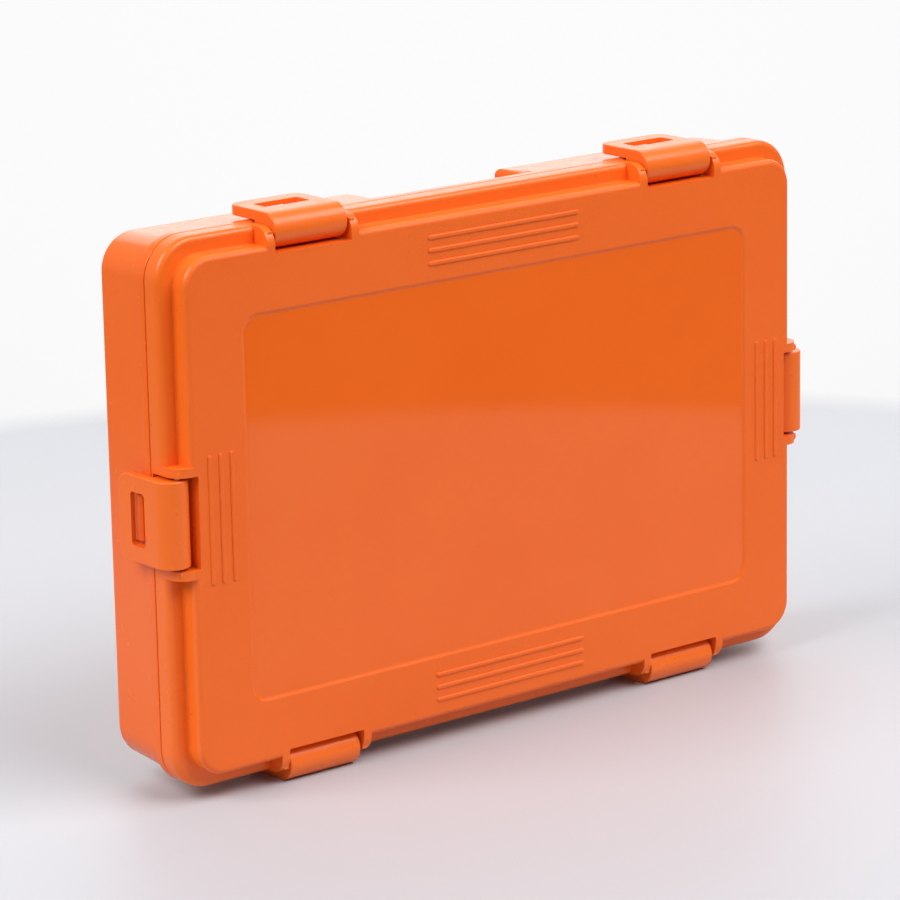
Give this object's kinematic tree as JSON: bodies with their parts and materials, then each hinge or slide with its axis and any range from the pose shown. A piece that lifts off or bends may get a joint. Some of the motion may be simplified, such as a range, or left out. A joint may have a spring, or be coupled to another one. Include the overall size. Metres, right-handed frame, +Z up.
{
  "type": "first aid kit",
  "caption": "Flat watertight first aid case with recessed panels, a lift-off lid held by hinged latches, and a tray of bandages, dressings, shears and tweezers inside.",
  "frame": {"origin": "middle of the overall box, on the surface that the case stands on", "axes": "+X along the longest side, +Y from the lid to the back of the case, +Z up"},
  "size_m": [0.288, 0.0454, 0.1961],
  "materials": {
    "shell": "satin",
    "latch": "satin",
    "steel": "satin",
    "gasket": "matte",
    "tray": "matte",
    "gauze": "matte",
    "crepe": "matte",
    "wrapper": "satin",
    "dressing": "paper pouch over a gauze pad",
    "foil": "metallised film",
    "card": "matte",
    "glove_film": "satin"
  },
  "bodies": {
    "case": {"body_shell": "shell", "lid_gasket": "gasket", "inner_tray": "tray", "crepe_bandage": "crepe", "gauze_bandage_1": "gauze", "gauze_bandage_2": "gauze", "wound_dressing_1": "dressing", "wound_dressing_2": "dressing", "wound_dressing_3": "dressing", "glove_packet": "glove_film", "triangular_bandage": "gauze", "rescue_blanket": "foil", "plaster_box": "card", "tape_roll": "wrapper", "wipe_sachet_1": "wrapper", "wipe_sachet_2": "wrapper", "wipe_sachet_3": "wrapper", "shears_half_left": "steel", "shears_screw": "steel", "tweezers": "steel"},
    "lid": {"lid_shell": "shell", "hinge_pin_top_left": "steel", "hinge_pin_top_right": "steel", "hinge_pin_bottom_left": "steel", "hinge_pin_bottom_right": "steel", "hinge_pin_side_left": "steel", "hinge_pin_side_right": "steel"},
    "latch_top_left": {"latch_top_left": "latch"},
    "latch_top_right": {"latch_top_right": "latch"},
    "latch_bottom_left": {"latch_bottom_left": "latch"},
    "latch_bottom_right": {"latch_bottom_right": "latch"},
    "latch_side_left": {"latch_side_left": "latch"},
    "latch_side_right": {"latch_side_right": "latch"},
    "shears_arm": {"shears_half_right": "steel"}
  },
  "joints": [
    {"name": "lid_lift", "type": "slide", "parent": "case", "child": "lid", "axis": [0, -1, 0], "range_m": [0, 0.15]},
    {"name": "latch_top_left_hinge", "type": "hinge", "parent": "lid", "child": "latch_top_left", "pos_m": [-0.0815, -0.0176, 0.1887], "axis": [1, 0, 0], "range_deg": [0, 130]},
    {"name": "latch_top_right_hinge", "type": "hinge", "parent": "lid", "child": "latch_top_right", "pos_m": [0.0815, -0.0176, 0.1887], "axis": [1, 0, 0], "range_deg": [0, 130]},
    {"name": "latch_bottom_left_hinge", "type": "hinge", "parent": "lid", "child": "latch_bottom_left", "pos_m": [-0.0815, -0.0176, 0.0074], "axis": [-1, 0, 0], "range_deg": [0, 130]},
    {"name": "latch_bottom_right_hinge", "type": "hinge", "parent": "lid", "child": "latch_bottom_right", "pos_m": [0.0815, -0.0176, 0.0074], "axis": [-1, 0, 0], "range_deg": [0, 130]},
    {"name": "latch_side_left_hinge", "type": "hinge", "parent": "lid", "child": "latch_side_left", "pos_m": [-0.1366, -0.0176, 0.09805], "axis": [0, 0, 1], "range_deg": [0, 130]},
    {"name": "latch_side_right_hinge", "type": "hinge", "parent": "lid", "child": "latch_side_right", "pos_m": [0.1366, -0.0176, 0.09805], "axis": [0, 0, -1], "range_deg": [0, 130]},
    {"name": "shears_pivot", "type": "hinge", "parent": "case", "child": "shears_arm", "pos_m": [0.066, -0.0119, 0.07005], "axis": [0, -1, 0], "range_deg": [0, 22]}
  ]
}
